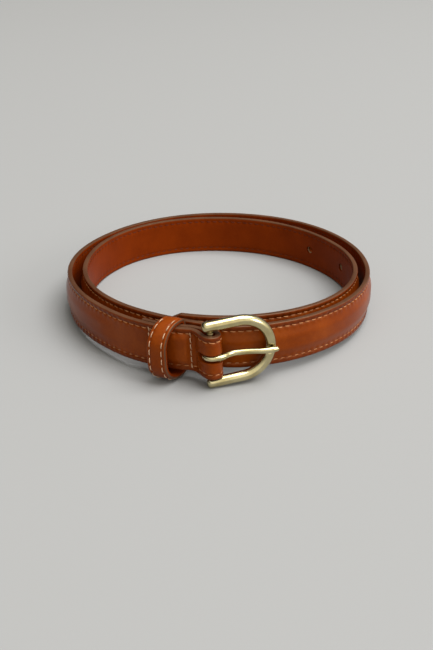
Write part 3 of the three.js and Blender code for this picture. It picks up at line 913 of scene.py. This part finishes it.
def keeper_layer(name, inner, outer, shaped):
    """One layer of the loop between two depths. The shaped one is the band, the other its lining."""
    points, normals, run = keeper_outline(0)
    half = KEEPER_WIDTH / 2 - (0 if shaped else 0.05)
    steps = np.array([1, 0.985, 0.95, 0.88, 0.8, 0.74, 0.7, 0.665, 0.63, 0.59, 0.53, 0.4, 0.2])
    across = half * np.concatenate([-steps, [0], steps[::-1]])
    back = across[::-2]
    flat = 0 * run[:, None]
    top = outer + (keeper_relief(run[:, None], across) if shaped else flat + 0 * across)
    inside = 0 * back if shaped else 0.18 * np.abs(back / half) ** 4
    depth = np.concatenate([top, inner + flat + inside], axis=1)
    side = np.concatenate([across, back])
    xy = points[:, None] + depth[..., None] * normals[:, None]
    z = side + KEEPER_SKEW * (xy[..., 0] - KEEPER_FRONT)
    cloud = np.concatenate([xy, z[..., None]], axis=-1)
    kinds = np.full(len(side), EDGE)
    kinds[PAINTED:len(across) - 1 - PAINTED] = SURFACE
    if not shaped:
        kinds[len(across) + 1:] = SURFACE
    ids = np.tile(kinds, len(run))
    faces = ring_faces(len(run), len(side), closed=True)
    return new_object(name, to_frame(keeper_to_coil(cloud)), faces, ids)


def keeper_stitches(name, across):
    """One row of stitching round the keeper, left out behind the strap."""
    points, normals, run = keeper_outline(KEEPER_THICKNESS)
    length = keeper_outline(0)[2][-1]
    last = len(run) - 1
    origin, axes = keeper_frame()
    middles = []
    rises = []
    directions = []
    for centre in np.arange(KEEPER_PITCH / 2, length, KEEPER_PITCH):
        i = int(round(centre / length * last))
        if points[i, 0] < -KEEPER_BACK + 2:
            continue
        ahead = unit(points[min(i + 2, last)] - points[i - 2])
        skew = KEEPER_SKEW * (points[i, 0] - KEEPER_FRONT)
        middle = np.array([*(points[i] + KEEPER_RISE * normals[i]), across + skew])
        middles.append(origin + middle @ axes)
        rises.append(np.array([*normals[i], 0]) @ axes)
        directions.append(unit(np.array([*ahead, KEEPER_SKEW * ahead[0]]) @ axes))
    return stitches(name, middles, rises, directions, KEEPER_LENGTH, KEEPER_THREAD)


# ---------------------------------------------------------------- materials

# Colours of the leathers from the darkest clouds to the lightest, as places on a ramp
TAN = [(0.35, (0.115, 0.0165, 0.001)), (0.62, (0.16, 0.0255, 0.001)), (0.9, (0.215, 0.040, 0.002))]
# The margin's colours: the tan darkened, as painted shade along the strap's edges
MARGIN_SHADE = [(0.35, (0.075, 0.010, 0.001)), (0.9, (0.15, 0.025, 0.002))]
PAINT = [(0.35, (0.05, 0.018, 0.008)), (0.9, (0.10, 0.042, 0.021))]
LINING = [(0.35, (0.11, 0.013, 0.0006)), (0.9, (0.18, 0.024, 0.001))]
WARM_SHINE = (1, 0.78, 0.5, 1)

BRASS_DEEP = (0.42, 0.35, 0.17)
BRASS_PALE = (0.58, 0.51, 0.30)


def new_material(name):
    """A material with an empty Principled surface, and functions that add and link its nodes."""
    material = bpy.data.materials.new(name)
    material.use_nodes = True
    tree = material.node_tree
    surface = tree.nodes["Principled BSDF"]

    def add(kind, **values):
        node = tree.nodes.new(kind)
        for key, value in values.items():
            if key in node.inputs:
                node.inputs[key].default_value = value
            else:
                setattr(node, key, value)
        return node

    return material, surface, add, tree.links.new


def colour_ramp(add, link, source, stops):
    """Colours picked from stops by a grey texture."""
    ramp = add("ShaderNodeValToRGB")
    elements = ramp.color_ramp.elements
    while len(elements) < len(stops):
        elements.new(0.5)
    for element, (place, colour) in zip(elements, stops):
        element.position = place
        element.color = (*colour, 1)
    link(source, ramp.inputs["Fac"])
    return ramp.outputs["Color"]


def cloudy_gloss(add, link, surface, source, low, high):
    """Roughness between two values, by the same clouds as the colour."""
    gloss = add("ShaderNodeMapRange")
    gloss.inputs["To Min"].default_value = low
    gloss.inputs["To Max"].default_value = high
    link(source, gloss.inputs["Value"])
    link(gloss.outputs["Result"], surface.inputs["Roughness"])


def fine_bump(add, link, surface, source, strength, distance):
    """Grain too fine for the mesh."""
    bump = add("ShaderNodeBump", Strength=strength, Distance=distance)
    link(source, bump.inputs["Height"])
    link(bump.outputs["Normal"], surface.inputs["Normal"])


def leather(name, stops, rough, grain=0.08, shine=0.17):
    """Smooth polished leather: cloudy colour, fine pores, slight differences in gloss."""
    material, surface, add, link = new_material(name)
    place = add("ShaderNodeTexCoord").outputs["Object"]
    clouds = add("ShaderNodeTexNoise", Scale=55.0, Detail=4.0, Roughness=0.6)
    fine = add("ShaderNodeTexNoise", Scale=900.0, Detail=3.0, Roughness=0.6)
    pores = add("ShaderNodeTexVoronoi", Scale=2600.0)
    for texture in (clouds, fine, pores):
        link(place, texture.inputs["Vector"])
    mixed = add("ShaderNodeMath", operation="MULTIPLY_ADD")
    mixed.inputs[1].default_value = 0.35
    link(fine.outputs["Fac"], mixed.inputs[0])
    link(clouds.outputs["Fac"], mixed.inputs[2])
    link(colour_ramp(add, link, mixed.outputs[0], stops), surface.inputs["Base Color"])
    cloudy_gloss(add, link, surface, clouds.outputs["Fac"], rough - 0.06, rough + 0.08)
    skin = add("ShaderNodeMath", operation="MULTIPLY_ADD")
    skin.inputs[1].default_value = 0.5
    link(pores.outputs["Distance"], skin.inputs[0])
    link(fine.outputs["Fac"], skin.inputs[2])
    fine_bump(add, link, surface, skin.outputs[0], grain, 0.0002)
    surface.inputs["Specular IOR Level"].default_value = shine
    surface.inputs["Specular Tint"].default_value = WARM_SHINE
    return material


def thread_material(name, light, dark):
    """Waxed thread: fine differences of colour from its strands, and slow ones from dirt."""
    material, surface, add, link = new_material(name)
    place = add("ShaderNodeTexCoord").outputs["Object"]
    strands = add("ShaderNodeTexNoise", Scale=2400.0, Detail=3.0)
    dirt = add("ShaderNodeTexNoise", Scale=160.0, Detail=2.0)
    link(place, strands.inputs["Vector"])
    link(place, dirt.inputs["Vector"])
    both = add("ShaderNodeMath", operation="MULTIPLY_ADD")
    both.inputs[1].default_value = 0.5
    link(strands.outputs["Fac"], both.inputs[0])
    link(dirt.outputs["Fac"], both.inputs[2])
    stops = [(0.55, dark), (0.85, light)]
    link(colour_ramp(add, link, both.outputs[0], stops), surface.inputs["Base Color"])
    fine_bump(add, link, surface, strands.outputs["Fac"], 0.4, 0.0001)
    surface.inputs["Roughness"].default_value = 0.62
    surface.inputs["Specular IOR Level"].default_value = 0.2
    return material


def brass_material():
    """Satin pale brass: fine brushing in all directions, faint clouds of tarnish."""
    material, surface, add, link = new_material("satin_brass")
    place = add("ShaderNodeTexCoord").outputs["Object"]
    tarnish = add("ShaderNodeTexNoise", Scale=180.0, Detail=4.0)
    brushing = add("ShaderNodeTexNoise", Scale=3200.0, Detail=2.0)
    link(place, tarnish.inputs["Vector"])
    link(place, brushing.inputs["Vector"])
    stops = [(0.3, BRASS_DEEP), (0.7, BRASS_PALE)]
    link(colour_ramp(add, link, tarnish.outputs["Fac"], stops), surface.inputs["Base Color"])
    cloudy_gloss(add, link, surface, tarnish.outputs["Fac"], 0.13, 0.22)
    fine_bump(add, link, surface, brushing.outputs["Fac"], 0.06, 0.0001)
    surface.inputs["Metallic"].default_value = 1
    return material


def grainy_material(name, light, dark, rough, metallic=0.0):
    """A grainy surface for what hardly shows: the filler and the staple's wire."""
    material, surface, add, link = new_material(name)
    place = add("ShaderNodeTexCoord").outputs["Object"]
    grain = add("ShaderNodeTexNoise", Scale=900.0, Detail=4.0)
    link(place, grain.inputs["Vector"])
    stops = [(0.35, dark), (0.65, light)]
    link(colour_ramp(add, link, grain.outputs["Fac"], stops), surface.inputs["Base Color"])
    fine_bump(add, link, surface, grain.outputs["Fac"], 0.3, 0.0002)
    surface.inputs["Roughness"].default_value = rough
    surface.inputs["Metallic"].default_value = metallic
    return material


tan = leather("tan_leather", TAN, rough=0.3)
# Darker tan for the margins: painted shade along the strap's edges
shaded_margin = leather("painted_shade_margin", MARGIN_SHADE, rough=0.27)
edge_paint = leather("painted_edge", PAINT, rough=0.35, grain=0.25, shine=0.35)
lining_leather = leather("lining_leather", LINING, rough=0.42, grain=0.12, shine=0.05)
pale_thread = thread_material("pale_thread", light=(0.46, 0.20, 0.08), dark=(0.32, 0.11, 0.04))
cream_thread = thread_material("cream_thread", light=(0.5, 0.32, 0.2), dark=(0.34, 0.18, 0.1))
brown_thread = thread_material("brown_thread", light=(0.1, 0.015, 0.002), dark=(0.07, 0.01, 0.001))
brass = brass_material()
board = grainy_material("filler_board", light=(0.4, 0.26, 0.14), dark=(0.28, 0.17, 0.09), rough=0.9)
wire = grainy_material("staple_wire", light=(0.55, 0.55, 0.55), dark=(0.4, 0.4, 0.4), rough=0.35,
                       metallic=1.0)


def finish_piece(piece, body, materials, node):
    """Gives a piece its materials and its body, and hides the CAD node it stands for."""
    mesh = piece.data
    ids = np.zeros(len(mesh.polygons), np.int32)
    mesh.polygons.foreach_get("material_index", ids)
    mesh.materials.clear()
    for material in materials:
        mesh.materials.append(material)
    mesh.polygons.foreach_set("material_index", np.minimum(ids, len(materials) - 1))
    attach(piece, body)
    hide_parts(node)


# ---------------------------------------------------------------- floor, light and camera

# Floor, and the sky's colour and strengths, which go from dim to bright towards one direction
FLOOR_COLOUR = (0.286, 0.2875, 0.289, 1)
SKY_COLOUR = (1, 0.97, 0.88, 1)
SKY_BRIGHTEST = Vector((0.5, -0.5, 0.65)).normalized()
SKY_DIM = 0.03
SKY_BRIGHT = 1.35


def area_light(name, place, target, size, power):
    """A rectangular light at place, in metres, that faces target."""
    light = bpy.data.lights.new(name, "AREA")
    light.shape = "RECTANGLE"
    light.size = size[0]
    light.size_y = size[1]
    light.energy = power
    obj = bpy.data.objects.new(name, light)
    obj.location = place
    obj.rotation_euler = (Vector(target) - Vector(place)).to_track_quat("-Z", "Y").to_euler()
    bpy.context.scene.collection.objects.link(obj)


def make_stage():
    bpy.ops.mesh.primitive_plane_add(size=12)
    floor = bpy.context.object
    floor.name = "floor"
    material, surface, *_ = new_material("pale_floor")
    surface.inputs["Base Color"].default_value = FLOOR_COLOUR
    surface.inputs["Roughness"].default_value = 0.85
    surface.inputs["Specular IOR Level"].default_value = 0.1
    floor.data.materials.append(material)
    make_sky()
    area_light("window", place=(2.3, -1.1, 1.1), target=(0, 0, 0), size=(1.0, 0.9), power=18)
    area_light("top", place=(1.2, -0.1, 3.3), target=(0, 0.1, 0), size=(2.8, 2.6), power=165)


def make_sky():
    """A soft room: bright towards the front right and overhead, dim behind and at the left."""
    world = bpy.data.worlds.new("studio")
    bpy.context.scene.world = world
    world.use_nodes = True
    tree = world.node_tree
    link = tree.links.new
    direction = tree.nodes.new("ShaderNodeTexCoord").outputs["Generated"]
    towards = tree.nodes.new("ShaderNodeVectorMath")
    towards.operation = "DOT_PRODUCT"
    towards.inputs[1].default_value = SKY_BRIGHTEST
    link(direction, towards.inputs[0])
    glow = tree.nodes.new("ShaderNodeMapRange")
    glow.interpolation_type = "SMOOTHSTEP"
    link(towards.outputs["Value"], glow.inputs["Value"])
    glow.inputs["From Min"].default_value = -0.3
    glow.inputs["From Max"].default_value = 1.0
    glow.inputs["To Min"].default_value = SKY_DIM
    glow.inputs["To Max"].default_value = SKY_BRIGHT
    background = tree.nodes["Background"]
    background.inputs["Color"].default_value = SKY_COLOUR
    link(glow.outputs["Result"], background.inputs["Strength"])


def make_camera():
    camera = bpy.data.cameras.new("camera")
    camera.lens = CAMERA_LENS
    camera.sensor_width = 36
    camera.clip_start = 0.01
    camera.clip_end = 50
    obj = bpy.data.objects.new("camera", camera)
    obj.location = (ORIGIN[0] * MM, ORIGIN[1] * MM - CAMERA_AWAY, CAMERA_HEIGHT)
    obj.rotation_euler = (math.radians(CAMERA_TILT), 0, math.radians(CAMERA_TURN))
    bpy.context.scene.collection.objects.link(obj)
    bpy.context.scene.camera = obj


# ---------------------------------------------------------------- the belt

make_camera()
make_stage()
bpy.context.scene.view_settings.view_transform = "Standard"

# The face's margins carry the painted shade along its edges
finish_piece(make_face(), "strap", [tan, edge_paint, shaded_margin], "strap_face")
finish_piece(make_lining(), "strap", [lining_leather, edge_paint], "strap_lining")
finish_piece(make_filler(), "strap", [board], "strap_filler")

face_row = edge_row("edge_stitches_face", face_height, 1, strap.fold_start)
finish_piece(face_row, "strap", [pale_thread], "edge_thread_face")
lining_row = edge_row("edge_stitches_lining", lining_height, -1, strap.at_angle(PADDING[0]))
finish_piece(lining_row, "strap", [brown_thread], "edge_thread_lining")
for name, row in (("right", RIGHT_ROW), ("left", LEFT_ROW)):
    stitched = cross_row(f"chape_stitches_{name}", row)
    finish_piece(stitched, "strap", [cream_thread], f"chape_thread_{name}")

finish_piece(make_frame(), "buckle", [brass], "buckle_frame")
finish_piece(make_bar(), "buckle", [brass], "buckle_bar")
finish_piece(make_prong(), "prong", [brass], "prong")

band_inside = KEEPER_LINING + KEEPER_LAYER_GAP
band = keeper_layer("keeper_leather", band_inside, KEEPER_THICKNESS - KEEPER_SINK, True)
finish_piece(band, "keeper", [tan, edge_paint], "keeper_band")
inside = keeper_layer("keeper_lining_leather", 0.0, KEEPER_LINING, False)
finish_piece(inside, "keeper", [lining_leather, edge_paint], "keeper_lining")
for name, across in (("left", -KEEPER_STITCH), ("right", KEEPER_STITCH)):
    stitched = keeper_stitches(f"keeper_stitches_{name}", across)
    finish_piece(stitched, "keeper", [cream_thread], f"keeper_thread_{name}")

finish_piece(make_staple(), "keeper", [wire], "keeper_staple")
